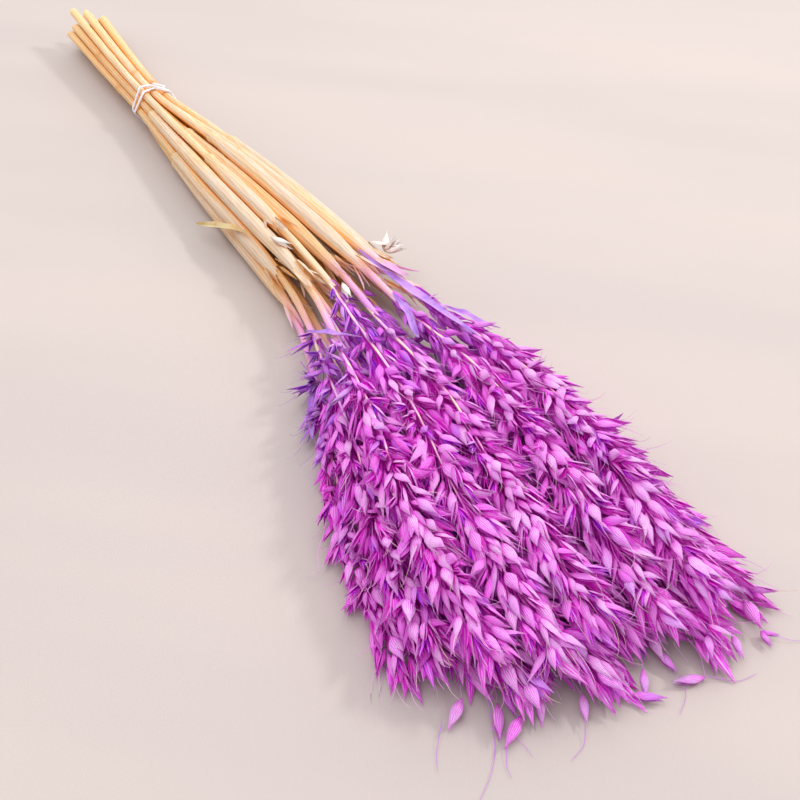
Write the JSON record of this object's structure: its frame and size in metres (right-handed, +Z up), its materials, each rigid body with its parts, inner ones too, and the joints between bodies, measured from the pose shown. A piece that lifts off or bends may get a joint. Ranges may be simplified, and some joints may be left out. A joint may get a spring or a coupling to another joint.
{
  "type": "bundle of dried oats",
  "caption": "Cut and dried oat stalks lying in a tied bundle: pale straw stems, a thin elastic band and a fan of dense dyed heads.",
  "frame": {"origin": "on the surface that the bundle lies on, under the middle of its box", "axes": "+X along the bundle from the cut ends to the tips of the heads, +Y across it, +Z up"},
  "size_m": [0.6154, 0.1588, 0.0442],
  "materials": {
    "straw": "dry straw, soft sheen",
    "dyed_oat": "papery husks, matte",
    "dyed_leaf": "dry leaf, matte",
    "pale_leaf": "dry leaf, matte",
    "pale_husk": "thin papery husk, matte",
    "elastic": "matte white elastic"
  },
  "bodies": {
    "root": {"elastic_band": "elastic", "head_low_1": "dyed_oat", "head_low_2": "dyed_oat", "head_low_3": "dyed_oat", "head_low_4": "dyed_oat", "head_low_5": "dyed_oat", "head_low_6": "dyed_oat", "head_low_7": "dyed_oat", "head_mid_1": "dyed_oat", "head_mid_2": "dyed_oat", "head_mid_3": "dyed_oat", "head_mid_4": "dyed_oat", "head_mid_5": "dyed_oat", "head_mid_6": "dyed_oat", "head_top_1": "dyed_oat", "head_top_2": "dyed_oat", "head_top_3": "dyed_oat", "head_top_4": "dyed_oat", "head_top_5": "dyed_oat", "loose_husk_1": "pale_husk", "loose_husk_2": "pale_husk", "loose_husk_3": "pale_husk", "stem_low_1": "straw", "stem_low_2": "straw", "stem_low_3": "straw", "stem_low_4": "straw", "stem_low_5": "straw", "stem_low_6": "straw", "stem_low_7": "straw", "stem_mid_1": "straw", "stem_mid_2": "straw", "stem_mid_3": "straw", "stem_mid_4": "straw", "stem_mid_5": "straw", "stem_mid_6": "straw", "stem_top_1": "straw", "stem_top_2": "straw", "stem_top_3": "straw", "stem_top_4": "straw", "stem_top_5": "straw", "straw_blade": "pale_leaf", "violet_blade_1": "dyed_leaf", "violet_blade_2": "dyed_leaf", "violet_blade_3": "dyed_leaf", "violet_blade_4": "dyed_leaf", "violet_blade_5": "dyed_leaf"}
  },
  "joints": []
}
